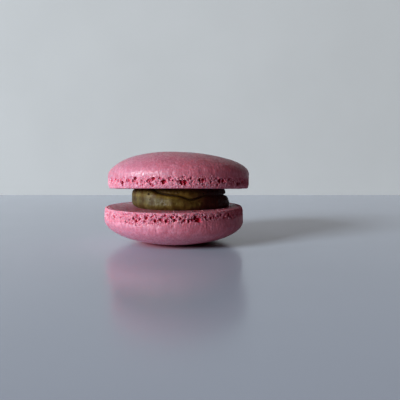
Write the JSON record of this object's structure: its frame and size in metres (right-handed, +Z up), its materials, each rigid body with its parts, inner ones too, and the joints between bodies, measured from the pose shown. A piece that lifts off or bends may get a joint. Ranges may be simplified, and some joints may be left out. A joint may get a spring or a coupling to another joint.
{
  "type": "french macaron",
  "caption": "Sandwich biscuit of two domed almond-meringue shells with ruffled, pitted feet round a squashed swirl of filling, lying dome down.",
  "frame": {"origin": "under the middle of the whole biscuit, on the surface that it rests on", "axes": "+Z up through both shells; -Y is the front, where the upper shell is raised; +X is the side to which the upper shell is shifted"},
  "size_m": [0.0462, 0.045, 0.0288],
  "materials": {
    "shell": "baked pink almond meringue: satin, eggshell-fine skin, with dark crimson pits in the foot",
    "filling": "olive-brown nut paste: moist, grainy and softly glossy"
  },
  "bodies": {
    "root": {"lower_shell": "shell", "filling": "filling", "upper_shell": "shell"}
  },
  "joints": []
}
